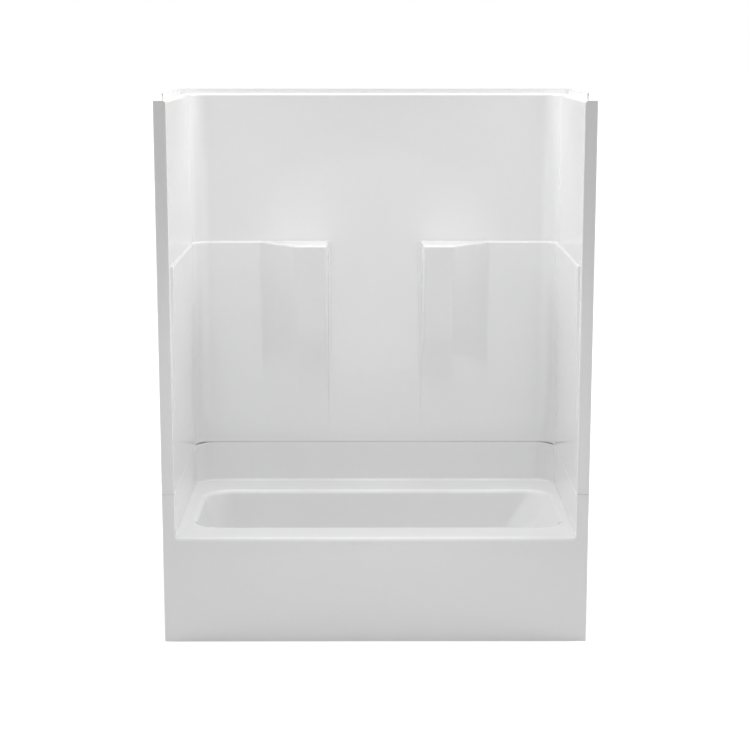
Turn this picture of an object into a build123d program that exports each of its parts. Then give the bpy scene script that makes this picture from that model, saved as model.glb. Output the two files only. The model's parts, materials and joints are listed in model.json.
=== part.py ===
"""An alcove tub and shower unit: a moulded tub bolted under a one-piece moulded wall surround.

X runs to the right, Y to the back and Z up. The origin is on the floor, under the middle of the unit.
Every moulding is a skin of one thickness, made as its visible form less the same form moved back by the skin.
"""

from math import radians, tan
import os

from build123d import *

# The unit as a whole. The wall studs stand at its two sides and its back.
# Cuts run past what they cut by overrun, and an edge counts as level with a plane when it is this near to it.
unit_width = 1524.0
unit_depth = 813.0
wall_top = 1940.0
skin = 5.0
overrun = 60.0
near = 0.01

# Walls. The pockets are the gaps from the visible wall back to the studs.
side_pocket = 44.5
back_pocket = 25.0
corner_r = 70.0
wall_edge_r = 10.0
jamb_edge_r = 3.0
return_depth = 45.0

# Nailing flange, which stands on the outer edge of the wall tops.
flange_rise = 17.0
flange_skin = 4.0
flange_start = 247.0

# Joint between the tub and the surround.
tub_top = 548.5
gasket_skin = 1.0
joint_edge_r = 2.5
gasket_inset = 6.0
gasket_margin = 5.0

# Deck, apron and rolled nose of the tub.
deck_height = 390.0
nose_reach = 3.0
nose_depth = 22.0
nose_r = 15.0
cove_r = 12.0

# Well of the tub. Its decks are measured from the walls and the apron to the sharp edge of the well.
left_deck = 55.5
right_deck = 25.5
front_deck = 138.0
back_deck = 152.0
left_draft = 9.0
right_draft = 33.0
front_draft = 4.0
back_draft = 7.0
well_corner_r = 95.0
rim_r = 18.0
floor_edge_r = 50.0
floor_height = 66.0
floor_slope = 0.4

# Drain in the floor, at the steep end.
drain_from_wall = 193.5
drain_r = 26.0
drain_seat_r = 40.0
drain_seat_drop = 2.0
drain_boss_r = 46.0
drain_access_r = 62.0

# Raised panels and shelves of the surround. The panels taper to nothing at the joint.
ledge_height = 1362.0
ledge_edge_r = 8.0
side_relief = 10.5
back_relief = 13.0
least_relief = 0.3
panel_front = 48.0
panel_gap = 372.0
panel_edge_r = 10.0
shelf_reach = 155.0
shelf_foot = 800.0
shelf_foot_relief = 0.2
shelf_flat = 121.0
shelf_slant = 143.0
shelf_root = 4.0
wall_overlap = 15.0

# Timber, board and fasteners behind the skins.
timber = 38.0
wide_timber = 89.0
board_skin = 12.0
apron_board_skin = 9.0
fit_gap = 1.5
bearer_width = 60.0
first_bearer_inset = 190.0
last_bearer_inset = 120.0
board_shift_x = 40.0
board_margin_y = 15.0
bedding_end_margin = 55.0
bedding_side_margin = 50.0
apron_board_foot = 60.0
apron_board_top = 340.0
apron_board_end = 120.0
deck_rail_end = 160.0
front_rail_width = 50.0
front_rail_set_back = 52.0
back_rail_set_forward = 20.0
leg_from_stud = 204.0
end_rail_front_gap = 60.0
end_rail_back_gap = 25.0
rib_width = 60.0
rib_skin = 15.0
rib_foot_gap = 45.0
rib_top_gap = 40.0
upper_rib_foot_gap = 38.0
upper_rib_from_wall = 287.5
valve_board_size = (320.0, 600.0)
valve_board_over_deck = 610.0
arm_board_size = (200.0, 180.0)
arm_board_under_top = 140.0
grab_board_size = (520.0, 200.0)
grab_board_over_deck = 510.0
thick_board_skin = 18.0

bolt_r = 3.0
bolt_hole_r = 3.3
bolt_spare = 2.0
nut_gap = 0.05
nut_flats = 10.0
nut_height = 5.0
head_height = 4.0
washer_r = 6.0
washer_hole_r = 3.2
washer_skin = 1.6
back_bolt_end_gap = 202.0
back_bolt_count = 5
side_bolt_front_gap = 133.0
side_bolt_back_gap = 91.0
side_bolt_count = 3
screw_r = 2.4
screw_hole_r = 2.5
screw_head_r = 5.0
screw_sink_r = 5.1
screw_head_height = 2.6
screw_length = 40.0
screw_spacing = 180.0

# Places that follow from the sizes above.
stud_x = unit_width / 2
stud_y = unit_depth / 2
nose_y = -stud_y
face_y = nose_y + nose_reach
wall_x = stud_x - side_pocket
wall_y = stud_y - back_pocket
surround_foot = tub_top + gasket_skin
under_deck = deck_height - skin
back_face_y = face_y + skin
return_x = stud_x - skin
panel_inner_x = panel_gap / 2
shelf_fold_x = panel_inner_x + shelf_flat
shelf_outer_x = shelf_fold_x + shelf_slant
panel_front_y = face_y + panel_front
panel_foot = surround_foot + joint_edge_r


def slab(x_low, x_high, y_low, y_high, z_low, z_high, mode=Mode.ADD):
    """A square-edged block between six planes."""
    align = (Align.MIN, Align.MIN, Align.MIN)
    with Locations((x_low, y_low, z_low)):
        Box(x_high - x_low, y_high - y_low, z_high - z_low, align=align, mode=mode)


def evenly(first, last, count):
    """Evenly spaced places from first to last."""
    return [first + (last - first) * step / (count - 1) for step in range(count)]


def write(piece, label):
    """Names a finished piece and writes it to its own file."""
    piece.part.label = label
    export_step(piece.part, f"parts/{label}.step")


os.makedirs("parts", exist_ok=True)


def well_sides(height, grow):
    """Left, right, front and back of the well at one height, moved out by grow."""
    drop = deck_height - height
    left = -wall_x + left_deck + drop * tan(radians(left_draft)) - grow
    right = wall_x - right_deck - drop * tan(radians(right_draft)) + grow
    front = face_y + front_deck + drop * tan(radians(front_draft)) - grow
    back = wall_y - back_deck - drop * tan(radians(back_draft)) + grow
    return left, right, front, back


def floor_plane(grow):
    """The plane of the well floor, which falls to the drain end, lowered by grow."""
    left, right, front, back = well_sides(floor_height, 0)
    centre = ((left + right) / 2, (front + back) / 2, floor_height - grow)
    return Plane(centre, x_dir=(1, 0, tan(radians(floor_slope))), z_dir=(-tan(radians(floor_slope)), 0, 1))


def on_well_rim(edge):
    """True for the edges between the deck and the well."""
    centre = edge.center()
    clear_of_walls = abs(centre.X) < wall_x - cove_r - skin and centre.Y < wall_y - back_deck / 2
    return clear_of_walls and centre.Y > face_y + front_deck / 2


def tub_space(grow, roll_y, roll_r):
    """The open space over and in the tub, moved out by grow, with its front rolled over at roll_y."""
    deck = deck_height - grow
    roof = tub_top + overrun
    with BuildPart() as space:
        with BuildSketch(Plane.YZ):
            with BuildLine():
                Polyline(
                    (roll_y, deck - roll_r),
                    (roll_y, deck - roll_r - nose_depth),
                    (nose_y - overrun, deck - roll_r - nose_depth),
                    (nose_y - overrun, roof),
                    (wall_y + grow, roof),
                    (wall_y + grow, deck),
                    (roll_y + roll_r, deck),
                )
                RadiusArc((roll_y, deck - roll_r), (roll_y + roll_r, deck), roll_r)
            make_face()
        extrude(amount=wall_x + grow, both=True)
        fillet(space.edges().filter_by(Axis.Z).group_by(Axis.Y)[-1], corner_r + grow)
        deck_edges = space.edges().filter_by_position(Axis.Z, deck - near, deck + near)
        fillet(deck_edges.sort_by(Axis.Y)[-1], cove_r + grow)
        left, right, front, back = well_sides(deck_height, grow)
        with BuildSketch(Plane.XY.offset(deck)):
            with Locations(((left + right) / 2, (front + back) / 2)):
                RectangleRounded(right - left, back - front, well_corner_r + grow)
        left, right, front, back = well_sides(floor_height, grow)
        with BuildSketch(floor_plane(grow)):
            RectangleRounded(right - left, back - front, well_corner_r + grow)
        loft()
        rim_edges = space.edges().filter_by_position(Axis.Z, deck - near, deck + near)
        fillet(rim_edges.filter_by(on_well_rim), rim_r - grow)
        low_edges = space.faces().sort_by(Axis.Z)[0].edges()
        fillet(low_edges, floor_edge_r + grow)
    return space.part


tub_room = tub_space(0, nose_y, nose_r)
tub_room_back = tub_space(skin, back_face_y, nose_r - nose_reach - skin)

drain_x = -wall_x + drain_from_wall
well_left, well_right, well_front, well_back = well_sides(floor_height, 0)
well_centre_y = (well_front + well_back) / 2
floor_middle_x = (well_left + well_right) / 2
drain_seat = floor_height + (drain_x - floor_middle_x) * tan(radians(floor_slope)) - drain_seat_drop

# The hollow behind the tub's skin, open at the bottom, the back and the sides.
with BuildPart() as tub_hollow:
    slab(-stud_x - overrun, stud_x + overrun, back_face_y, stud_y + overrun, -overrun, tub_top - skin)
    add(tub_room_back, mode=Mode.SUBTRACT)
    with BuildSketch(Plane.XY.offset(drain_seat - skin)):
        with Locations((drain_x, well_centre_y)):
            Circle(drain_boss_r)
    extrude(amount=skin + drain_seat_drop, mode=Mode.SUBTRACT)

# Tub: one glass-fibre moulding, with the joint flange along its top and the drain seat sunk in its floor.
with BuildPart() as tub_shell:
    slab(-stud_x, stud_x, face_y, stud_y, 0, tub_top)
    slab(-wall_x + cove_r, wall_x - cove_r, nose_y, face_y + skin, deck_height - nose_depth, deck_height)
    add(tub_room, mode=Mode.SUBTRACT)
    top_edges = tub_shell.faces().sort_by(Axis.Z)[-1].edges()
    fillet(top_edges.filter_by_position(Axis.Y, wall_y - near, wall_y + near), joint_edge_r)
    add(tub_hollow.part, mode=Mode.SUBTRACT)
    for side in (-1, 1):
        inner, outer = sorted((side * return_x, side * stud_x))
        slab(inner, outer, face_y, face_y + return_depth, 0, tub_top)
    with BuildSketch(Plane.XY.offset(drain_seat)):
        with Locations((drain_x, well_centre_y)):
            Circle(drain_seat_r)
    extrude(amount=overrun, mode=Mode.SUBTRACT)
    with BuildSketch(Plane.XY.offset(drain_seat + skin)):
        with Locations((drain_x, well_centre_y)):
            Circle(drain_r)
    extrude(amount=-overrun, mode=Mode.SUBTRACT)


def relief(height, top_relief):
    """How far a raised panel stands out of the wall at one height."""
    share = (height - panel_foot) / (ledge_height - panel_foot)
    return least_relief + (top_relief - least_relief) * share


def panel_section(height, grow):
    """Plan of the left raised panel at one height, with its skin's back moved out by grow."""
    side_x = -wall_x - grow + relief(height, side_relief)
    back_y = wall_y + grow - relief(height, back_relief)
    deep_x = -wall_x - grow - wall_overlap
    deep_y = wall_y + grow + wall_overlap
    turn_r = corner_r + grow - relief(height, back_relief)
    inner_x = -panel_inner_x - grow
    with BuildSketch(Plane.XY.offset(height)) as section:
        with BuildLine():
            Polyline(
                (side_x, back_y - turn_r),
                (side_x, panel_front_y + grow),
                (deep_x, panel_front_y + grow),
                (deep_x, deep_y),
                (inner_x, deep_y),
                (inner_x, back_y + panel_edge_r),
            )
            RadiusArc((inner_x, back_y + panel_edge_r), (inner_x - panel_edge_r, back_y), -panel_edge_r)
            Line((inner_x - panel_edge_r, back_y), (side_x + turn_r, back_y))
            RadiusArc((side_x + turn_r, back_y), (side_x, back_y - turn_r), -turn_r)
        make_face()
    return section.sketch


def shelf_section(height, grow):
    """Plan of the left shelf wedge at one height, with its skin's back moved out by grow."""
    share = (height - shelf_foot) / (ledge_height - shelf_foot)
    front_y = wall_y + grow - shelf_foot_relief - (shelf_reach - shelf_foot_relief) * share
    root_y = wall_y + grow - relief(height, back_relief) + shelf_root
    deep_y = wall_y + grow + wall_overlap
    inner_x = -panel_inner_x - grow
    with BuildSketch(Plane.XY.offset(height)) as section:
        with BuildLine():
            Polyline(
                (inner_x, front_y + panel_edge_r),
                (inner_x, deep_y),
                (-shelf_outer_x, deep_y),
                (-shelf_outer_x, root_y),
                (-shelf_fold_x, front_y),
                (inner_x - panel_edge_r, front_y),
            )
            RadiusArc((inner_x - panel_edge_r, front_y), (inner_x, front_y + panel_edge_r), panel_edge_r)
        make_face()
    return section.sketch


def on_ledge_front(edge):
    """True for the edges of a raised panel that face into the room."""
    centre = edge.center()
    in_room = centre.X > -wall_x and centre.Y < wall_y
    return in_room and (centre.Y > panel_front_y + wall_overlap or centre.X > -wall_x + side_pocket)


def raised_panel(grow, edge_r):
    """The left raised panel with its shelf, under a flat ledge whose front edge is rounded by edge_r."""
    ledge = ledge_height - grow
    with BuildPart() as panel:
        add(panel_section(panel_foot, grow))
        add(panel_section(ledge, grow))
        loft(ruled=True)
        add(shelf_section(shelf_foot, grow))
        add(shelf_section(ledge, grow))
        loft(ruled=True)
        if edge_r > 0:
            rim = panel.edges().filter_by_position(Axis.Z, ledge - near, ledge + near)
            fillet(rim.filter_by(on_ledge_front), edge_r)
    return panel.part


def wall_space(grow):
    """The open space between the plain walls, moved out by grow."""
    with BuildPart() as space:
        slab(-wall_x - grow, wall_x + grow, nose_y - overrun, wall_y + grow, tub_top - overrun, wall_top + overrun)
        fillet(space.edges().filter_by(Axis.Z).group_by(Axis.Y)[-1], corner_r + grow)
    return space.part


def surround_space(grow, panel):
    """The open space between the surround's walls, moved out by grow, less its two raised panels."""
    plain = wall_space(grow)
    with BuildPart() as space:
        add(plain)
        add(panel, mode=Mode.SUBTRACT)
        mirror(panel, about=Plane.YZ, mode=Mode.SUBTRACT)
    return space.part


front_panel = raised_panel(0, ledge_edge_r)
surround_room_back = surround_space(skin, raised_panel(skin, 0))

# The hollow behind the surround's skin, open at the back and the sides between its two flanges.
with BuildPart() as surround_hollow:
    slab(-stud_x - overrun, stud_x + overrun, back_face_y, stud_y + overrun, surround_foot + skin, wall_top - skin)
    add(surround_room_back, mode=Mode.SUBTRACT)

# Surround: one glass-fibre moulding, with the joint flange at its foot and the nailing flange round its top.
with BuildPart() as wall_surround:
    slab(-stud_x, stud_x, face_y, stud_y, surround_foot, wall_top)
    add(wall_space(0), mode=Mode.SUBTRACT)
    front_edges = wall_surround.edges().filter_by(Axis.Z).filter_by_position(Axis.Y, face_y - near, face_y + near)
    fillet(front_edges.filter_by_position(Axis.X, -wall_x - near, wall_x + near), jamb_edge_r)
    back_edges = wall_surround.edges().filter_by_position(Axis.Y, wall_y - near, wall_y + near)
    fillet(back_edges.sort_by(Axis.Z)[-1], wall_edge_r)
    fillet(back_edges.sort_by(Axis.Z)[0], joint_edge_r)
    add(front_panel)
    mirror(front_panel, about=Plane.YZ)
    add(surround_hollow.part, mode=Mode.SUBTRACT)
    for side in (-1, 1):
        inner, outer = sorted((side * return_x, side * stud_x))
        slab(inner, outer, face_y, face_y + return_depth, surround_foot, wall_top)
        inner, outer = sorted((side * (stud_x - flange_skin), side * stud_x))
        slab(inner, outer, face_y + flange_start, stud_y, wall_top, wall_top + flange_rise)
    slab(-stud_x, stud_x, stud_y - flange_skin, stud_y, wall_top, wall_top + flange_rise)

# Gasket: the strip closed between the two joint flanges, set back from the visible edge.
joint_space = wall_space(gasket_inset)
with BuildPart() as joint_gasket:
    slab(-return_x, return_x, face_y + fit_gap, stud_y - gasket_margin, tub_top, surround_foot)
    add(joint_space, mode=Mode.SUBTRACT)

# Bolts through both flanges and the gasket, with a washer at each face and the nut below.
back_bolt_y = (wall_y + skin + stud_y) / 2
side_bolt_x = (wall_x + skin + return_x) / 2
back_bolt_row = evenly(-stud_x + back_bolt_end_gap, stud_x - back_bolt_end_gap, back_bolt_count)
side_bolt_row = evenly(face_y + side_bolt_front_gap, wall_y - side_bolt_back_gap, side_bolt_count)
bolt_places = [(x, back_bolt_y) for x in back_bolt_row]
bolt_places += [(side * side_bolt_x, y) for side in (-1, 1) for y in side_bolt_row]
flange_low = tub_top - skin
flange_high = surround_foot + skin
head_seat = flange_high + washer_skin
nut_seat = flange_low - washer_skin

for flange in (tub_shell, wall_surround, joint_gasket):
    with flange:
        with BuildSketch(Plane.XY.offset(surround_foot)):
            with Locations(*bolt_places):
                Circle(bolt_hole_r)
        extrude(amount=overrun, both=True, mode=Mode.SUBTRACT)

with BuildPart() as joint_bolts:
    with BuildSketch(Plane.XY.offset(head_seat)):
        with Locations(*bolt_places):
            RegularPolygon(nut_flats / 2, 6, major_radius=False)
    extrude(amount=head_height)
    with BuildSketch(Plane.XY.offset(nut_seat - nut_height - bolt_spare)):
        with Locations(*bolt_places):
            Circle(bolt_r)
    extrude(amount=head_seat - nut_seat + nut_height + bolt_spare)

with BuildPart() as joint_washers:
    for seat in (flange_high, nut_seat):
        with BuildSketch(Plane.XY.offset(seat)):
            with Locations(*bolt_places):
                Circle(washer_r)
                Circle(washer_hole_r, mode=Mode.SUBTRACT)
        extrude(amount=washer_skin)

with BuildPart() as joint_nuts:
    with BuildSketch(Plane.XY.offset(nut_seat)):
        with Locations(*bolt_places):
            RegularPolygon(nut_flats / 2, 6, major_radius=False)
            Circle(bolt_r + nut_gap, mode=Mode.SUBTRACT)
    extrude(amount=-nut_height)

write(tub_shell, "tub_shell")
write(wall_surround, "wall_surround")
write(joint_gasket, "joint_gasket")
write(joint_bolts, "joint_bolts")
write(joint_washers, "joint_washers")
write(joint_nuts, "joint_nuts")

# Floor: bearers on the ground carry a board, and a wedge of foam fills up to the sloped floor of the well.
board_top = timber + board_skin
board_left = well_left + board_shift_x
board_right = well_right + board_shift_x
board_front = well_front - board_margin_y
board_back = well_back + board_margin_y
bearer_places = evenly(board_left + first_bearer_inset, board_right - last_bearer_inset, 3)
screw_rows = [well_centre_y + step * screw_spacing for step in (-1, 0, 1)]
screw_places = [(x, y) for x in bearer_places for y in screw_rows]

with BuildPart() as floor_board:
    slab(board_left, board_right, board_front, board_back, timber, board_top)
    with BuildSketch(Plane.XY.offset(timber)):
        with Locations((drain_x, well_centre_y)):
            Circle(drain_access_r)
    extrude(amount=board_skin, mode=Mode.SUBTRACT)
    with Locations(*[(x, y, board_top) for x, y in screw_places]):
        CounterSinkHole(screw_hole_r, screw_sink_r, board_skin)
write(floor_board, "floor_board")

with BuildPart() as floor_bedding:
    slab(
        drain_x + drain_access_r + fit_gap,
        well_right - bedding_end_margin,
        well_front + bedding_side_margin,
        well_back - bedding_side_margin,
        board_top,
        floor_height + skin,
    )
    add(tub_room_back, mode=Mode.SUBTRACT)
write(floor_bedding, "floor_bedding")

for place, label in zip(bearer_places, ("bearer_left", "bearer_centre", "bearer_right")):
    with BuildPart() as bearer:
        slab(place - bearer_width / 2, place + bearer_width / 2, board_front, board_back, 0, timber)
        with Locations(*[(place, y, timber) for y in screw_rows]):
            Hole(screw_hole_r, screw_length - board_skin)
    write(bearer, label)

with BuildPart() as bearer_screws:
    with Locations(*[(x, y, board_top) for x, y in screw_places]):
        Cylinder(screw_r, screw_length - fit_gap, align=(Align.CENTER, Align.CENTER, Align.MAX))
        Cone(
            screw_r,
            screw_head_r,
            screw_head_height,
            align=(Align.CENTER, Align.CENTER, Align.MAX),
        )
write(bearer_screws, "bearer_screws")

# Apron: a board bonded behind it, and a rail along its foot between the two posts.
post_x = wall_x + skin + fit_gap
with BuildPart() as apron_board:
    slab(
        -stud_x + apron_board_end,
        stud_x - apron_board_end,
        back_face_y,
        back_face_y + apron_board_skin,
        apron_board_foot,
        apron_board_top,
    )
write(apron_board, "apron_board")

with BuildPart() as apron_rail:
    slab(-post_x, post_x, back_face_y, back_face_y + timber, 0, timber)
write(apron_rail, "apron_rail")

# Posts and battens fill the jamb channels, and take the screws that hold the unit to the studs.
for side, name in ((-1, "left"), (1, "right")):
    inner, outer = sorted((side * post_x, side * return_x))
    with BuildPart() as apron_post:
        slab(inner, outer, back_face_y, back_face_y + timber, 0, tub_top - skin)
    write(apron_post, f"{name}_apron_post")
    with BuildPart() as jamb_batten:
        slab(inner, outer, back_face_y, back_face_y + timber, surround_foot + skin, wall_top - skin)
    write(jamb_batten, f"{name}_jamb_batten")

# Deck timbers, bonded flat under the decks, with two legs down to the ground at the back.
rail_foot = under_deck - timber
front_rail_front = face_y + front_rail_set_back
back_rail_back = wall_y - back_rail_set_forward
with BuildPart() as front_deck_rail:
    slab(
        -stud_x + deck_rail_end,
        stud_x - deck_rail_end,
        front_rail_front,
        front_rail_front + front_rail_width,
        rail_foot,
        under_deck,
    )
write(front_deck_rail, "front_deck_rail")

with BuildPart() as back_deck_rail:
    slab(
        -stud_x + deck_rail_end,
        stud_x - deck_rail_end,
        back_rail_back - wide_timber,
        back_rail_back,
        rail_foot,
        under_deck,
    )
write(back_deck_rail, "back_deck_rail")

for side, name in ((-1, "left"), (1, "right")):
    inner, outer = sorted((side * (stud_x - leg_from_stud - timber), side * (stud_x - leg_from_stud)))
    with BuildPart() as back_leg:
        slab(inner, outer, back_rail_back - wide_timber, back_rail_back, 0, rail_foot)
    write(back_leg, f"back_leg_{name}")

with BuildPart() as left_end_rail:
    slab(
        -wall_x - skin,
        -wall_x - skin + timber,
        face_y + end_rail_front_gap,
        wall_y - end_rail_back_gap,
        rail_foot,
        under_deck,
    )
write(left_end_rail, "left_end_rail")

# Shelf boards, cut to the plan of each shelf and bonded under it.
shelf_under = ledge_height - skin
left_shelf_plan = shelf_section(shelf_under - board_skin, skin + fit_gap)
with BuildPart() as shelf_board_left:
    extrude(left_shelf_plan, amount=board_skin)
write(shelf_board_left, "shelf_board_left")

with BuildPart() as shelf_board_right:
    mirror(shelf_board_left.part, about=Plane.YZ)
write(shelf_board_right, "shelf_board_right")


def wall_board(side, size, level, thickness):
    """A board bedded on the back of a side wall, in its middle. Its size runs along the wall and up it."""
    outer_x = wall_x + skin + thickness
    inner, outer = sorted((side * (wall_x - side_relief), side * outer_x))
    length, height = size
    middle = (face_y + wall_y) / 2
    with BuildPart() as board:
        slab(inner, outer, middle - length / 2, middle + length / 2, level - height / 2, level + height / 2)
        add(surround_room_back, mode=Mode.SUBTRACT)
    return board


valve_level = deck_height + valve_board_over_deck
arm_level = wall_top - arm_board_under_top
grab_level = deck_height + grab_board_over_deck
write(wall_board(-1, valve_board_size, valve_level, board_skin), "valve_board")
write(wall_board(-1, arm_board_size, arm_level, thick_board_skin), "shower_arm_board")
write(wall_board(1, grab_board_size, grab_level, board_skin), "grab_rail_board")

# Ribs, bonded upright on the back of the wall where it is flat.
rib_top = wall_top - skin - rib_top_gap
centre_rib_foot = surround_foot + skin + rib_foot_gap
upper_rib_foot = ledge_height + upper_rib_foot_gap
upper_rib_x = wall_x - upper_rib_from_wall
for label, place, foot in (
    ("centre_rib", 0.0, centre_rib_foot),
    ("upper_rib_left", -upper_rib_x, upper_rib_foot),
    ("upper_rib_right", upper_rib_x, upper_rib_foot),
):
    with BuildPart() as rib:
        slab(place - rib_width / 2, place + rib_width / 2, wall_y + skin, wall_y + skin + rib_skin, foot, rib_top)
    write(rib, label)
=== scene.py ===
"""Looks of an alcove tub and shower unit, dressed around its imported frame. Metres throughout."""

import json
from math import acos, atan2, cos, pi, radians, sin, tan

import bmesh
import bpy
from mathutils import Matrix, Vector


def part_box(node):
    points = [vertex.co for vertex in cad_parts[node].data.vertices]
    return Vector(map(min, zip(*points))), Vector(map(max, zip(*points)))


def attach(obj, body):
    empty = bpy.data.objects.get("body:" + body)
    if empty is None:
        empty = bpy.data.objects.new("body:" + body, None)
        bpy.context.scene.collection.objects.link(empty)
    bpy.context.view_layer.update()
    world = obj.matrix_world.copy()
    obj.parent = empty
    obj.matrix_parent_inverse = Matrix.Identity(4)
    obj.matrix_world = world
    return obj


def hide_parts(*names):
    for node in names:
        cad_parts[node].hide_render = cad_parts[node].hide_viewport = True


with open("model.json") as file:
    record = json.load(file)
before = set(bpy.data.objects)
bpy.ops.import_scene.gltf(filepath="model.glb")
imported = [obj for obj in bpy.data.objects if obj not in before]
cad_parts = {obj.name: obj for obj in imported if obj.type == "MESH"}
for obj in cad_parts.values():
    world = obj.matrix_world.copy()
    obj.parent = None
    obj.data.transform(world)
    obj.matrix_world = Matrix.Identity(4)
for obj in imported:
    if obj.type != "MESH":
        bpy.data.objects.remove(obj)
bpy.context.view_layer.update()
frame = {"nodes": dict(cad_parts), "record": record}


# Camera: it stands in front of the unit, a little above it, and looks down on it.
camera_data = bpy.data.cameras.new("camera")
camera_data.lens = 79.21
camera_data.shift_y = -0.06
camera = bpy.data.objects.new("camera", camera_data)
camera.location = (-0.0194, -6.092, 2.150)
camera.rotation_euler = (pi / 2 - radians(10.02), 0, radians(-0.177))
bpy.context.scene.collection.objects.link(camera)
bpy.context.scene.camera = camera
bpy.context.scene.view_settings.view_transform = "Standard"


class Shade:
    """One value in a tree of shader nodes. Sums on it add Math nodes, and node adds any other kind."""

    def __init__(self, tree, socket=None):
        self.tree = tree
        self.socket = socket

    def node(self, kind, settings=None, inputs=None, output=0):
        made = self.tree.nodes.new(kind)
        for name, value in (settings or {}).items():
            if name == "stops":
                ramp = made.color_ramp.elements
                while len(ramp) < len(value):
                    ramp.new(1.0)
                for stop, (place, colour) in zip(ramp, value):
                    stop.position = place
                    stop.color = (*colour, 1)
            else:
                setattr(made, name, value)
        for name, value in (inputs or {}).items():
            if isinstance(value, Shade):
                self.tree.links.new(value.socket, made.inputs[name])
            else:
                made.inputs[name].default_value = value
        return Shade(self.tree, made.outputs[output])

    def math(self, operation, first, second=0.0):
        return self.node("ShaderNodeMath", {"operation": operation}, {0: first, 1: second})

    def __add__(self, other):
        return self.math("ADD", self, other)

    def __radd__(self, other):
        return self.math("ADD", other, self)

    def __sub__(self, other):
        return self.math("SUBTRACT", self, other)

    def __rsub__(self, other):
        return self.math("SUBTRACT", other, self)

    def __mul__(self, other):
        return self.math("MULTIPLY", self, other)

    def __rmul__(self, other):
        return self.math("MULTIPLY", other, self)

    def noise(self, place, scale, detail=2.0, rough=0.5, output=0):
        inputs = {"Vector": place, "Scale": scale, "Detail": detail, "Roughness": rough}
        return self.node("ShaderNodeTexNoise", {}, inputs, output)

    def band(self, low, high, value):
        """0 below low, 1 above high, smooth between."""
        settings = {"interpolation_type": "SMOOTHSTEP"}
        return self.node("ShaderNodeMapRange", settings, {"Value": value, "From Min": low, "From Max": high})

    def mix(self, share, low, high):
        """A colour between two colours."""
        low = (*low, 1) if isinstance(low, tuple) else low
        high = (*high, 1) if isinstance(high, tuple) else high
        return self.node("ShaderNodeMix", {"data_type": "RGBA"}, {0: share, 6: low, 7: high}, 2)


# Light: an even white room with wide soft lamps, one high over the unit and two beyond each of its sides. A faint
# one before its opening looks in. Each lamp has its place, what it is aimed at, its width and its watts.
sky_light = 0.39
lamps = {
    "lamp_above": ((0.0, -0.4, 6.5), (0.0, 0.0, 0.0), 3.0, 79.0),
    "lamp_high_left": ((-2.2, 0.2, 4.2), (0.6, 0.0, 1.0), 1.6, 35.0),
    "lamp_high_right": ((2.2, 0.2, 4.2), (-0.6, 0.0, 1.0), 1.6, 35.0),
    "lamp_low_left": ((-3.2, 0.1, 3.1), (0.7, 0.0, 1.6), 1.6, 35.0),
    "lamp_low_right": ((3.2, 0.1, 3.1), (-0.7, 0.0, 1.6), 1.6, 35.0),
    "lamp_before": ((0.0, -0.72, 1.12), (0.0, 0.4, 0.62), 1.2, 1.4),
}

world = bpy.data.worlds.new("room")
world.use_nodes = True
bpy.context.scene.world = world
sky = Shade(world.node_tree)
seen = sky.node("ShaderNodeLightPath", output="Is Camera Ray")
for ray in ("Is Glossy Ray", "Is Transmission Ray"):
    seen = sky.math("MAXIMUM", seen, sky.node("ShaderNodeLightPath", output=ray))
backdrop = world.node_tree.nodes["Background"]
backdrop.inputs["Color"].default_value = (1, 1, 1, 1)
world.node_tree.links.new((sky_light + seen * (1 - sky_light)).socket, backdrop.inputs["Strength"])

for name, (place, aim, size, watts) in lamps.items():
    lamp_data = bpy.data.lights.new(name, "AREA")
    lamp_data.shape = "DISK"
    lamp_data.size = size
    lamp_data.energy = watts
    lamp = bpy.data.objects.new(name, lamp_data)
    lamp.location = place
    lamp.rotation_euler = (Vector(aim) - Vector(place)).to_track_quat("-Z", "Y").to_euler()
    lamp.visible_camera = False
    bpy.context.scene.collection.objects.link(lamp)


def finish(name, steady):
    """A new material with its steady settings made. Returns it, its shader, its tree and the object's own place."""
    material = bpy.data.materials.new(name)
    material.use_nodes = True
    shader = material.node_tree.nodes["Principled BSDF"]
    for socket, value in steady.items():
        shader.inputs[socket].default_value = value
    tree = Shade(material.node_tree)
    return material, shader, tree, tree.node("ShaderNodeTexCoord", output="Object")


def feed(material, shader, values):
    """Links values to the shader's sockets."""
    for name, value in values.items():
        material.node_tree.links.new(value.socket, shader.inputs[name])


# Floor: a plain matt studio floor, white to the camera apart from the unit's shadow. It glows more further out,
# where the lamps reach it less.
near_glow = (0.50, 0.50, 0.50)
far_glow = (0.85, 0.85, 0.85)
floor_steady = {"Base Color": (0.8, 0.8, 0.8, 1), "Roughness": 0.9, "Emission Strength": 1.0}

floor_mesh = bpy.data.meshes.new("studio_floor")
bm = bmesh.new()
bmesh.ops.create_grid(bm, x_segments=8, y_segments=8, size=60)
bm.to_mesh(floor_mesh)
bm.free()
floor = bpy.data.objects.new("studio_floor", floor_mesh)
bpy.context.scene.collection.objects.link(floor)
floor_paint, shader, tree, place = finish("studio_floor", floor_steady)
seen = tree.math(
    "MAXIMUM",
    tree.node("ShaderNodeLightPath", output="Is Camera Ray"),
    tree.node("ShaderNodeLightPath", output="Is Glossy Ray"),
)
away = tree.node("ShaderNodeVectorMath", {"operation": "LENGTH"}, {0: place}, 1)
glow = tree.mix(tree.band(1.2, 4.5, away), near_glow, far_glow)
feed(floor_paint, shader, {"Emission Color": tree.mix(seen, (0, 0, 0), glow)})
floor_mesh.materials.append(floor_paint)


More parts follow.
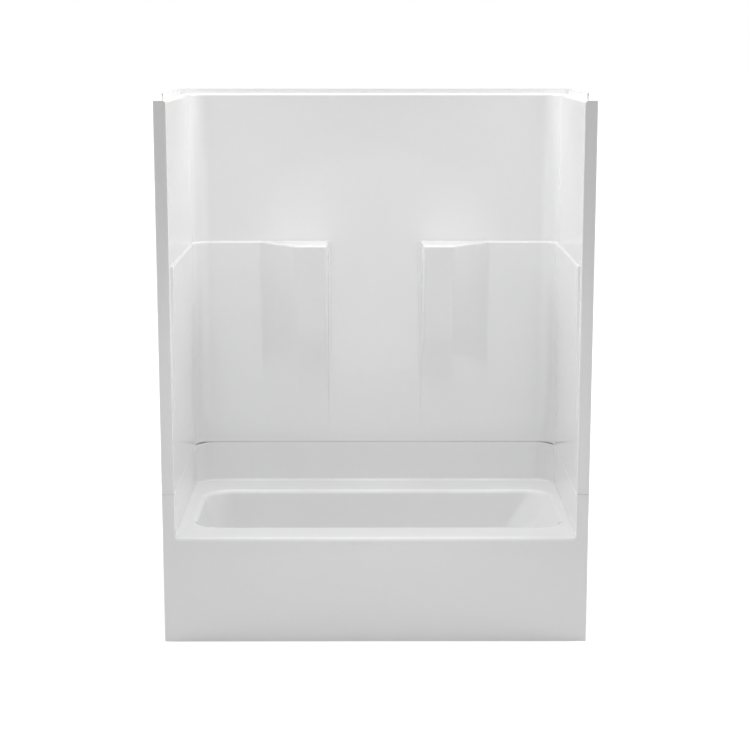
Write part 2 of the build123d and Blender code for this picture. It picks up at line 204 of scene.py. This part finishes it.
# Tub: one moulding, white gelcoat in front of glass mat and resin. Its deck runs without a seam into the rolled
# nose, the side walls and the well. The apron and the jambs at its ends are one flat face down to the floor.
stud_x, stud_y, tub_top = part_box("tub_shell")[1]
nose_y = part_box("tub_shell")[0].y
skin = 0.005
deck_height = 0.390
nose_reach = 0.003
nose_depth = 0.022
nose_r = 0.015
nose_lip_r = 0.0012
face_y = nose_y + nose_reach
wall_x = stud_x - 0.0445
wall_y = stud_y - 0.025
corner_r = 0.070
corner_steps = 14
cove_r = 0.012
jamb_edge_r = 0.003
joint_edge_r = 0.0015
joint_gape = 0.0025
return_depth = 0.045
weld = 0.0001

# Each side of the well is given as its deck, measured to its sharp edge, and its draft: left, right, front, back.
well_decks = (0.0555, 0.0255, 0.138, 0.152)
well_drafts = (radians(9), radians(33), radians(4), radians(7))
well_corner_r = 0.095
rim_r = 0.018
floor_edge_r = 0.050
floor_height = 0.066
floor_fall = tan(radians(0.4))
drain_x = -wall_x + 0.1935
drain_seat_r = 0.040
drain_seat_drop = 0.002
drain_r = 0.026


def wire(bm, points, rounding, closed=False):
    """Edges of a wire through the points, with each corner named in rounding cut to a radius in steps."""
    old = {edge for edge in bm.edges if edge.is_wire}
    verts = [bm.verts.new(point) for point in points]
    for pair in zip(verts, verts[1:] + verts[:1] * closed):
        bm.edges.new(pair)
    for index, (radius, steps) in rounding.items():
        bmesh.ops.bevel(
            bm,
            geom=[verts[index]],
            offset=radius,
            segments=steps,
            profile=0.5,
            affect="VERTICES",
            material=-1,
        )
    return [edge for edge in bm.edges if edge.is_wire and edge not in old]


def bridge(bm, wires):
    """Skins over a row of wires, each to the next."""
    for first, second in zip(wires, wires[1:]):
        bmesh.ops.bridge_loops(bm, edges=first + second)


def quarter(steps):
    """The sine and cosine of each step of a quarter turn."""
    return [(sin(pi / 2 * step / steps), cos(pi / 2 * step / steps)) for step in range(steps + 1)]


def mirrored(points):
    """The points, then their mirror images in the middle of the unit, back to the first."""
    return points + [(-x, y, z) for x, y, z in reversed(points)]


def gape(bm, height, way):
    """Bends the joint's edge up or down a little at the rounded back corners, where two flanges never quite meet."""
    for vert in bm.verts:
        across = abs(vert.co.x) - wall_x + corner_r
        deep = vert.co.y - wall_y + corner_r
        if abs(vert.co.z - height) < 2 * joint_edge_r and min(across, deep) > 0 and max(across, deep) < 1.1 * corner_r:
            share = sin(2 * atan2(deep, across)) ** 2
            bmesh.ops.translate(bm, verts=[vert], vec=(0, 0, way * joint_gape * share))


def moulding(name, bm, node, seen_from):
    """A welded skin with its gelcoat towards the room and its laminate behind, in place of its CAD node."""
    bmesh.ops.remove_doubles(bm, verts=bm.verts, dist=weld)
    bmesh.ops.dissolve_degenerate(bm, dist=weld, edges=bm.edges)
    bmesh.ops.recalc_face_normals(bm, faces=bm.faces)
    largest = max(bm.faces, key=lambda face: face.calc_area())
    if largest.normal.dot(seen_from - largest.calc_center_median()) < 0:
        bmesh.ops.reverse_faces(bm, faces=bm.faces)
    for face in bm.faces:
        face.smooth = True
    for edge in bm.edges:
        edge.smooth = edge.is_manifold and edge.calc_face_angle(0) < radians(38)
    mesh = bpy.data.meshes.new(name)
    bm.to_mesh(mesh)
    bm.free()
    piece = bpy.data.objects.new(name, mesh)
    bpy.context.scene.collection.objects.link(piece)
    mesh.materials.append(gelcoat)
    mesh.materials.append(laminate)
    wall = piece.modifiers.new("laminate", "SOLIDIFY")
    wall.thickness = skin
    wall.offset = -1
    wall.use_quality_normals = True
    wall.material_offset = 1
    wall.material_offset_rim = 1
    flats = piece.modifiers.new("flats", "WEIGHTED_NORMAL")
    flats.keep_sharp = True
    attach(piece, "root")
    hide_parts(node)
    return piece


def make_gelcoat():
    """Sprayed gelcoat: hard white gloss, faintly wavy as it comes off the mould."""
    steady = {"IOR": 1.5, "Coat Roughness": 0.03, "Coat Weight": 0.2}
    material, shader, tree, place = finish("gelcoat", steady)
    cloud = tree.noise(place, 1.3, 3)
    speck = tree.noise(place, 45, 3)
    tone = cloud * 0.7 + speck * 0.3
    waves = tree.noise(place, 4.5, 1)
    peel = tree.noise(place, 300, 2)
    rounded = tree.node("ShaderNodeBump", {}, {"Height": waves, "Strength": 0.2, "Distance": 0.001})
    peeled = tree.node(
        "ShaderNodeBump",
        {},
        {"Height": peel, "Strength": 0.08, "Distance": 0.0001, "Normal": rounded},
    )
    feed(
        material,
        shader,
        {
            "Base Color": tree.mix(tree.band(0.35, 0.65, tone), (0.912, 0.913, 0.914), (0.93, 0.93, 0.93)),
            "Roughness": 0.07 + 0.06 * speck,
            "Normal": peeled,
        },
    )
    return material


def make_laminate():
    """The back of a moulding: chopped glass strands wetted out with resin, rough to the touch."""
    material, shader, tree, place = finish("glass_laminate", {"IOR": 1.5, "Coat Weight": 0.15})
    strands = []
    for scale, reach in ((34, 1.0), (47, 0.8)):
        cell = tree.node("ShaderNodeTexVoronoi", {}, {"Vector": place, "Scale": scale, "Randomness": 1.0}, 1)
        turned = tree.node("ShaderNodeVectorMath", {"operation": "SUBTRACT"}, {0: cell, 1: (0.5, 0.5, 0.5)})
        spin = tree.node("ShaderNodeVectorMath", {"operation": "NORMALIZE"}, {0: turned})
        along = tree.node("ShaderNodeVectorMath", {"operation": "DOT_PRODUCT"}, {0: place, 1: spin}, 1)
        lengthwise = tree.node("ShaderNodeVectorMath", {"operation": "SCALE"}, {0: spin, "Scale": along * 0.93})
        thin = tree.node("ShaderNodeVectorMath", {"operation": "SUBTRACT"}, {0: place, 1: lengthwise})
        strands.append(tree.noise(thin, 420 * reach, 2, 0.6))
    glass = tree.math("MAXIMUM", strands[0], strands[1])
    pool = tree.band(0.3, 0.7, tree.noise(place, 7, 4, 0.6))
    wander = tree.node("ShaderNodeVectorMath", {"operation": "SCALE"}, {0: tree.noise(place, 5, 2, 0.5, 1), "Scale": 0.16})
    laid = tree.node("ShaderNodeVectorMath", {"operation": "ADD"}, {0: place, 1: wander})
    mats = tree.node("ShaderNodeTexVoronoi", {}, {"Vector": laid, "Scale": 3.1, "Randomness": 1.0}, 1)
    mat = tree.node("ShaderNodeSeparateColor", {}, {0: mats})
    wet = tree.band(0.42, 0.66, glass)
    resin = tree.mix(pool * 0.7 + mat * 0.3, (0.43, 0.41, 0.27), (0.66, 0.645, 0.53))
    colour = tree.mix(wet * 0.5, resin, (0.82, 0.81, 0.73))
    bump = tree.node(
        "ShaderNodeBump",
        {},
        {"Height": glass + pool * 0.6 + mat * 0.5, "Strength": 0.8, "Distance": 0.0014},
    )
    feed(material, shader, {"Base Color": colour, "Roughness": 0.34 + 0.3 * (1 - wet), "Normal": bump})
    return material


gelcoat = make_gelcoat()
laminate = make_laminate()


def well_side(height, draft):
    """How far a side of the well lies outside its sharp edge at a height, and how much of it is the rounding."""
    turn = pi / 2 - draft
    straight = -(deck_height - height) * tan(draft)
    rim_angle = acos(max(-1, 1 - (deck_height - height) / rim_r))
    floor_angle = acos(max(-1, 1 - (height - floor_height) / floor_edge_r))
    place = straight
    if rim_angle < turn:
        place = rim_r * (tan(turn / 2) - sin(rim_angle))
    if floor_angle < turn:
        foot = (deck_height - floor_height) * tan(draft)
        place = -foot - floor_edge_r * (tan(turn / 2) - sin(floor_angle))
    return place, place - straight


def well_wire(bm, height):
    """The plan of the well at one height, on a level that leans towards the drain as the floor is reached."""
    out = [well_side(height, draft) for draft in well_drafts]
    left = -wall_x + well_decks[0] - out[0][0]
    right = wall_x - well_decks[1] + out[1][0]
    front = face_y + well_decks[2] - out[2][0]
    back = wall_y - well_decks[3] + out[3][0]
    fall = floor_fall * (deck_height - height) / (deck_height - floor_height) * (right - left) / 2
    points = [(left, front, height - fall), (right, front, height + fall)]
    points += [(right, back, height + fall), (left, back, height - fall)]
    rounding = {}
    for index, (end, side) in enumerate(((0, 2), (1, 2), (1, 3), (0, 3))):
        rounding[index] = (well_corner_r + (out[end][1] + out[side][1]) / 2, 12)
    return wire(bm, points, rounding, closed=True)


def roll_r(share):
    """Radius of the front edge, from the jamb (0) to the nose (1)."""
    return jamb_edge_r + (nose_r - jamb_edge_r) * share


def front_wire(bm, stations, out, y):
    """The edge of the front opening, moved out of the opening and to a depth, each given for a station's share."""
    left = []
    for x, z, side, down, share in stations:
        left.append((-x - side * out(share), y(share), z - down * out(share)))
    return wire(bm, mirrored(left), {})


def tub_skin():
    bm = bmesh.new()
    rows = []
    for up, level in quarter(3):
        rows.append((wall_x + joint_edge_r * (1 - up), tub_top - joint_edge_r * (1 - level), 1, 0, 0))
    for step, (up, level) in enumerate(quarter(8)):
        rows.append((wall_x - cove_r * (1 - level), deck_height + cove_r * (1 - up), level, up, step / 8))
    walls = []
    for x, z, side, down, share in rows:
        y = face_y - nose_reach * share + roll_r(share)
        back = x - wall_x + wall_y
        corner = (corner_r + x - wall_x, corner_steps)
        walls.append(wire(bm, mirrored([(-x, y, z), (-x, back, z)]), {1: corner, 2: corner}))
    bridge(bm, walls)

    # The front edge rolls over from the deck and the walls to the flat face.
    fronts = []
    for up, level in quarter(8):
        fronts.append(
            front_wire(
                bm,
                rows,
                lambda share: roll_r(share) * (1 - level),
                lambda share: face_y - nose_reach * share + roll_r(share) * (1 - up),
            )
        )
    for up, level in quarter(3):
        fronts.append(
            front_wire(
                bm,
                rows,
                lambda share: jamb_edge_r + (nose_depth - jamb_edge_r) * share - nose_lip_r * share * (1 - up),
                lambda share: face_y - (nose_reach - nose_lip_r * (1 - level)) * share,
            )
        )
    fronts.append(
        front_wire(bm, rows, lambda share: jamb_edge_r + (nose_depth - jamb_edge_r) * share, lambda share: face_y)
    )
    edge_x = stud_x - jamb_edge_r
    outline = []
    for x, z, side, down, share in rows:
        if share <= 0.5:
            outline.append((-edge_x, face_y, z * (1 - 2 * share)))
        else:
            outline.append((-edge_x + (edge_x - wall_x + cove_r) * (2 * share - 1), face_y, 0))
    fronts.append(wire(bm, mirrored(outline), {}))
    bridge(bm, fronts)

    # The jambs turn back at the studs, and the top turns out as the joint flange.
    for side in (-1, 1):
        heights = [z for x, y, z in outline if x == -edge_x]
        turns = [(jamb_edge_r * up, jamb_edge_r * (1 - level)) for up, level in quarter(3)]
        turns.append((jamb_edge_r, return_depth))
        bridge(bm, [wire(bm, [(side * (edge_x + out), face_y + deep, z) for z in heights], {}) for out, deep in turns])
    flange_y = face_y + jamb_edge_r
    inner_x = wall_x + joint_edge_r
    corner = (corner_r + joint_edge_r, corner_steps)
    inner = mirrored([(-inner_x, flange_y, tub_top), (-inner_x, inner_x - wall_x + wall_y, tub_top)])
    rim_x = stud_x - 5 * weld
    outer = mirrored([(-rim_x, flange_y, tub_top), (-rim_x, stud_y - 5 * weld, tub_top)])
    square = (0.001, corner_steps)
    bridge(bm, [wire(bm, inner, {1: corner, 2: corner}), wire(bm, outer, {1: square, 2: square})])

    # The well is a stack of level plans, closed by its floor with the drain's seat.
    heights = [deck_height - rim_r * (1 - level) for up, level in quarter(8)]
    heights += [floor_height + floor_edge_r * (1 - level) for up, level in reversed(quarter(12))]
    bridge(bm, [well_wire(bm, height) for height in heights])
    drop = drain_seat_drop
    middle_x = (wall_x - well_decks[1] - wall_x + well_decks[0]) / 2
    floor_z = floor_height + floor_fall * (drain_x - middle_x)
    centre_y = (face_y + well_decks[2] + wall_y - well_decks[3]) / 2
    rings = []
    for radius, z in ((drain_seat_r, 0), (drain_seat_r - 0.0004, -drop / 2), (drain_seat_r - 0.001, -drop), (drain_r, -drop)):
        ring = bmesh.ops.create_circle(bm, segments=48, radius=radius, matrix=Matrix.Translation((drain_x, centre_y, floor_z + z)))
        rings.append(list({edge for vert in ring["verts"] for edge in vert.link_edges}))
    bridge(bm, rings)
    bmesh.ops.remove_doubles(bm, verts=bm.verts, dist=weld)
    for low, high in ((deck_height - weld, deck_height + weld), (0, floor_height + 0.01)):
        edges = []
        for edge in bm.edges:
            inside = all(low < vert.co.z < high and vert.co.y > face_y for vert in edge.verts)
            hole = all((vert.co - Vector((drain_x, centre_y, vert.co.z))).length < drain_r + weld for vert in edge.verts)
            if edge.is_boundary and inside and not hole:
                edges.append(edge)
        bmesh.ops.triangle_fill(bm, use_beauty=True, edges=edges)
    gape(bm, tub_top, -1)
    return bm


tub = moulding("tub_moulding", tub_skin(), "tub_shell", Vector((0, -3, 3)))


# Wall surround: one moulding like the tub, bolted on top of it. Its lower walls swell into two raised panels with
# ledges, which run across the back corners as shelves. Its top edge turns out and ends in a nailing flange.
wall_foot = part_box("wall_surround")[0].z
unit_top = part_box("wall_surround")[1].z
wall_top = unit_top - 0.017
wall_edge_r = 0.010
flange_start = 0.247
ledge_height = 1.362
ledge_edge_r = 0.008
ledge_cove_r = 0.002
side_relief = 0.0075
side_start = 0.80
back_relief = 0.013
least_relief = 0.00002
flat = (least_relief, least_relief, least_relief)
panel_front = 0.048
panel_inner_x = 0.186
panel_edge_r = 0.020
panel_cove_r = 0.018
panel_draft = 0.003
shelf_reach = 0.155
shelf_foot = 0.800
shelf_swell = 0.130
shelf_outer_x = 0.450
shelf_fold_x = 0.307
fold_r = 0.006


def wall_plan(side, back, shelf, out):
    """The left half of the plan of the walls: reliefs of the side, the back and the shelf, and how far all lies out."""
    x, y = -wall_x - out, wall_y + out
    points = [
        (x, face_y + skin),
        (x, face_y + panel_front),
        (x + side, face_y + panel_front),
        (x + side, face_y + flange_start),
        (x + side, y - back),
        (-shelf_outer_x, y - back),
        (-shelf_fold_x, y - shelf),
        (-panel_inner_x, y - shelf),
        (-panel_inner_x + panel_draft, y),
        (-panel_inner_x / 2, y),
    ]
    rounding = {
        2: (min(0.001, 0.4 * side), 2),
        4: (corner_r + out - back, corner_steps),
        5: (fold_r, 3),
        6: (fold_r, 3),
        7: (min(panel_edge_r, 0.5 * shelf), 6),
        8: (min(panel_cove_r, 0.4 * shelf), 6),
    }
    return points, rounding


def surround_wire(bm, height, side, back, shelf, out, jambs=True):
    """The plan of the surround at one height, from the left jamb's return round to the right one's."""
    points, rounding = wall_plan(side, back, shelf, out)
    if jambs:
        lead = [(-stud_x, face_y + return_depth), (-stud_x, face_y), (-wall_x - out, face_y)]
        rounding = {index + len(lead): cut for index, cut in rounding.items()}
        rounding.update({1: (jamb_edge_r, 3), 2: (jamb_edge_r, 3)})
        points = lead + points
    last = 2 * len(points) - 1
    rounding.update({last - index: cut for index, cut in rounding.items()})
    return wire(bm, mirrored([(x, y, height) for x, y in points]), rounding)


def studs_wire(bm, height, out, lip, first=0):
    """The edge of a flange at the studs, with a point for each one of the wall's own plan, from the first on."""
    points = []
    for index, (x, y) in enumerate(wall_plan(*flat, out)[0]):
        points.append((lip - stud_x if index < 5 else x, stud_y - lip if index > 3 else y, height))
    cuts = {2: (least_relief / 3, 2), 4: (0.001, corner_steps), 5: (fold_r, 3), 6: (fold_r, 3)}
    cuts.update({7: (least_relief / 2, 6), 8: (least_relief / 2, 6)})
    last = 2 * len(points) - 1
    cuts.update({last - index: cut for index, cut in cuts.items()})
    cuts = {index - first: cut for index, cut in cuts.items() if first <= index <= last - first}
    return wire(bm, mirrored(points)[first : last + 1 - first], cuts)


def relief(height, start, most):
    """How far the raised panel stands out at one height, if it starts from nothing at another."""
    return least_relief + max(0, most * (height - start) / (ledge_height - start))


def surround_skin():
    bm = bmesh.new()
    rows = []
    for up, level in quarter(3):
        rows.append((wall_foot + joint_edge_r * (1 - level), *flat, joint_edge_r * (1 - up)))
    rise = (shelf_reach - back_relief) / (ledge_height - shelf_foot)
    levels = [0.61] + [shelf_foot + shelf_swell * step / 4 for step in range(-4, 5)]
    levels += [levels[-1] + (ledge_height - ledge_edge_r - levels[-1]) * step / 5 for step in range(1, 6)]
    for height in levels:
        back = relief(height, wall_foot + joint_edge_r, back_relief)
        above = height - shelf_foot
        swell = max(0, above + shelf_swell) ** 2 / (4 * shelf_swell) if above < shelf_swell else above
        rows.append((height, relief(height, side_start, side_relief), back, back + rise * swell, 0))
    height, side, back, shelf, out = rows[-1]
    for up, level in quarter(5)[1:]:
        loss = ledge_edge_r * (1 - level)
        rows.append((height + ledge_edge_r * up, side - 0.6 * loss, back - loss, shelf - loss, 0))
    for up, level in quarter(3):
        rest = max(least_relief, ledge_cove_r * (1 - up))
        rows.append((ledge_height + ledge_cove_r * (1 - level), rest, rest, rest, 0))
    rows.append((1.6, *flat, 0))
    for up, level in quarter(5):
        height = wall_top - wall_edge_r * (1 - up)
        rows.append((height, *flat, wall_edge_r * (1 - level)))
    bridge(bm, [surround_wire(bm, *row) for row in rows])

    # The joint flange below and the flange round the top both reach out to the studs. The top one turns up there.
    lip = skin + 5 * weld
    for height, out, inset in ((wall_foot, joint_edge_r, 5 * weld), (wall_top, wall_edge_r, lip)):
        inner = surround_wire(bm, height, *flat, out, jambs=False)
        bridge(bm, [inner, studs_wire(bm, height, out, inset)])
    bridge(bm, [studs_wire(bm, height, wall_edge_r, lip, 3) for height in (wall_top, unit_top)])
    gape(bm, wall_foot, 1)
    return bm


surround = moulding("wall_surround_moulding", surround_skin(), "wall_surround", Vector((0, -3, 1)))


# Joint: a strip of white closed-cell foam lies between the two flanges. Zinc-plated bolts, washers and nuts pull
# the flanges together on it from outside the unit.
def paint(node, material):
    """Gives a CAD node its material."""
    frame["nodes"][node].data.materials.clear()
    frame["nodes"][node].data.materials.append(material)


def make_strip():
    """Closed-cell foam: matt white, with small closed bubbles in its cut faces."""
    material, shader, tree, place = finish("joint_strip", {"IOR": 1.45})
    bubbles = tree.node("ShaderNodeTexVoronoi", {}, {"Vector": place, "Scale": 1300.0})
    cloud = tree.noise(place, 60, 2)
    tone = tree.mix(cloud, (0.72, 0.72, 0.70), (0.82, 0.82, 0.80))
    bump = tree.node("ShaderNodeBump", {}, {"Height": bubbles, "Strength": 0.4, "Distance": 0.0003})
    feed(material, shader, {"Base Color": tone, "Roughness": 0.75 + 0.2 * cloud, "Normal": bump})
    return material


def make_zinc(name, tint, dull):
    """Bright zinc plate over steel: grey crystals a few millimetres wide, and small scuffs from the spanner."""
    material, shader, tree, place = finish(name, {})
    crystal = tree.node("ShaderNodeTexVoronoi", {}, {"Vector": place, "Scale": 320.0}, 1)
    shade = tree.node("ShaderNodeSeparateColor", {}, {0: crystal})
    scuff = tree.band(0.6, 0.75, tree.noise(place, 500, 4, 0.65))
    dark = tuple(0.78 * part for part in tint)
    bump = tree.node("ShaderNodeBump", {}, {"Height": scuff, "Strength": 0.3, "Distance": 0.0001})
    feed(
        material,
        shader,
        {
            "Base Color": tree.mix(shade * 0.6 + scuff * 0.4, tint, dark),
            "Metallic": 1 - 0.25 * scuff,
            "Roughness": dull + 0.12 * shade + 0.15 * scuff,
            "Normal": bump,
        },
    )
    return material


paint("joint_gasket", make_strip())
paint("joint_bolts", make_zinc("bolt_zinc", (0.62, 0.63, 0.65), 0.28))
paint("joint_washers", make_zinc("washer_zinc", (0.66, 0.67, 0.68), 0.36))
paint("joint_nuts", make_zinc("nut_zinc", (0.60, 0.61, 0.64), 0.30))


# Timber: sawn softwood. Bearers and legs stand the unit on the floor, rails and posts frame the apron, battens
# back the jambs, and ribs stiffen the back. All are bonded to the mouldings with resin.
timber_pale = (0.66, 0.47, 0.27)
timber_dark = (0.45, 0.265, 0.125)


def along(node):
    """The index of a node's longest side."""
    low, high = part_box(node)
    size = high - low
    return max(range(3), key=lambda axis: size[axis])


def make_timber(axis):
    """Softwood with its grain along an axis: growth rings, fine fibres, a few knots and saw marks."""
    material, shader, tree, place = finish("softwood_" + "xyz"[axis], {"IOR": 1.5})
    lengthwise = [1.0, 1.0, 1.0]
    lengthwise[axis] = 0.05
    shift = (0.031, 0.417, 0.023)
    grain = tree.node("ShaderNodeMapping", {}, {"Vector": place, "Scale": lengthwise, "Location": shift})
    rings = tree.node(
        "ShaderNodeTexWave",
        {"wave_type": "RINGS", "rings_direction": "XYZ"[axis], "wave_profile": "SAW"},
        {"Vector": grain, "Scale": 62.0, "Distortion": 9.0, "Detail": 3.0, "Detail Scale": 14.0},
        1,
    )
    fibres = tree.node("ShaderNodeMapping", {}, {"Vector": place, "Scale": [part if part < 1 else 1.4 for part in lengthwise]})
    fibre = tree.noise(fibres, 620, 3, 0.6)
    cloud = tree.noise(place, 2.6, 3)
    knots = tree.node("ShaderNodeTexVoronoi", {}, {"Vector": grain, "Scale": 9.0, "Randomness": 1.0})
    knot = 1 - tree.band(0.03, 0.09, knots)
    late = tree.band(0.45, 0.95, rings)
    tone = tree.mix(late * 0.7 + fibre * 0.3, timber_pale, timber_dark)
    tone = tree.mix(tree.band(0.35, 0.7, cloud) * 0.3, tone, (0.55, 0.34, 0.16))
    tone = tree.mix(knot * 0.75, tone, (0.2, 0.095, 0.04))
    saw = tree.node("ShaderNodeMapping", {}, {"Vector": place, "Scale": [1.0 if part < 1 else 0.12 for part in lengthwise]})
    marks = tree.noise(saw, 330, 2)
    height = late * 0.4 + fibre * 0.6 + marks * 0.5
    bump = tree.node("ShaderNodeBump", {}, {"Height": height, "Strength": 0.5, "Distance": 0.0006})
    feed(material, shader, {"Base Color": tone, "Roughness": 0.6 + 0.25 * fibre, "Normal": bump})
    return material


timbers = [make_timber(axis) for axis in range(3)]
for row in frame["record"]["subparts"]:
    if row["material_slot"] == "timber":
        paint(row["node"], timbers[along(row["node"])])


# Boards: plywood bonded to the backs of the mouldings, where a valve, a shower arm, a grab rail and the shelves
# need screws to hold. One more stiffens the apron, and the widest is the base under the tub.
ply = 0.0016
ply_pale = (0.70, 0.53, 0.34)
ply_dark = (0.52, 0.355, 0.19)


def make_plywood(node):
    """Plywood: wide wavy figure on its faces, and along its edges thin plies laid across each other."""
    low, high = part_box(node)
    size = high - low
    thin = min(range(3), key=lambda axis: size[axis])
    material, shader, tree, place = finish(node + "_plywood", {"IOR": 1.5})
    centred = tree.node("ShaderNodeMapping", {}, {"Vector": place, "Location": [-part for part in (low + high) / 2]})
    depth = tree.node("ShaderNodeSeparateXYZ", {}, {0: centred}, thin)
    normal = tree.node("ShaderNodeNewGeometry", output="Normal")
    facing = tree.math("ABSOLUTE", tree.node("ShaderNodeSeparateXYZ", {}, {0: normal}, thin))
    face = tree.band(0.5, 0.9, facing)
    level = tree.math("FRACT", (depth + size[thin] / 2) * (0.5 / ply) + tree.noise(centred, 18, 2) * 0.25)
    across = tree.band(0.46, 0.54, level) - tree.band(0.96, 1.0, level)
    squash = [1.0, 1.0, 1.0]
    squash[along(node)] = 0.11
    squash[thin] = 0.3
    figure = tree.node("ShaderNodeMapping", {}, {"Vector": centred, "Scale": squash})
    waves = tree.node(
        "ShaderNodeTexWave",
        {"wave_type": "BANDS", "bands_direction": "DIAGONAL"},
        {"Vector": figure, "Scale": 5.0, "Distortion": 26.0, "Detail": 3.0, "Detail Scale": 1.4},
        1,
    )
    fibre = tree.noise(figure, 900, 3, 0.6)
    pores = tree.noise(centred, 1500, 2, 0.6)
    cloud = tree.noise(centred, 7, 3)
    veneer = tree.mix(waves * 0.55 + fibre * 0.35, ply_pale, ply_dark)
    edge = tree.mix(across, tree.mix(fibre, ply_pale, (0.58, 0.41, 0.24)), tree.mix(pores, ply_dark, (0.24, 0.14, 0.07)))
    tone = tree.mix(face, edge, veneer)
    tone = tree.mix(tree.band(0.5, 0.75, cloud) * 0.35, tone, (0.62, 0.42, 0.21))
    height = fibre * 0.5 + waves * 0.3 + across * (1 - face) * 0.9
    bump = tree.node("ShaderNodeBump", {}, {"Height": height, "Strength": 0.45, "Distance": 0.0005})
    feed(material, shader, {"Base Color": tone, "Roughness": 0.55 + 0.25 * fibre, "Normal": bump})
    return material


for row in frame["record"]["subparts"]:
    if row["material_slot"] == "plywood":
        paint(row["node"], make_plywood(row["node"]))
paint("bearer_screws", make_zinc("screw_zinc", (0.64, 0.63, 0.60), 0.34))


# Bedding: rigid foam, poured between the tub and its base board, where it sets hard and carries the tub's floor.
def make_bedding():
    """Poured rigid foam: a buttery skin with soft lumps, and small broken bubbles with painted shade in their pits."""
    material, shader, tree, place = finish("poured_foam", {"IOR": 1.45})
    lumps = tree.noise(place, 26, 3, 0.55)
    bubbles = tree.node("ShaderNodeTexVoronoi", {}, {"Vector": place, "Scale": 260.0})
    bubble_pits_and_shade = 1 - tree.band(0.08, 0.22, bubbles)
    tone = tree.mix(tree.band(0.3, 0.7, lumps), (0.64, 0.50, 0.24), (0.80, 0.70, 0.42))
    # Painted shade: the pits of the broken bubbles are darkened towards a deep brown.
    tone = tree.mix(bubble_pits_and_shade * 0.5, tone, (0.42, 0.29, 0.11))
    height = lumps * 2.2 - bubble_pits_and_shade * 0.35
    bump = tree.node("ShaderNodeBump", {}, {"Height": height, "Strength": 0.8, "Distance": 0.0025})
    feed(material, shader, {"Base Color": tone, "Roughness": 0.5 + 0.35 * lumps, "Normal": bump})
    return material


paint("floor_bedding", make_bedding())
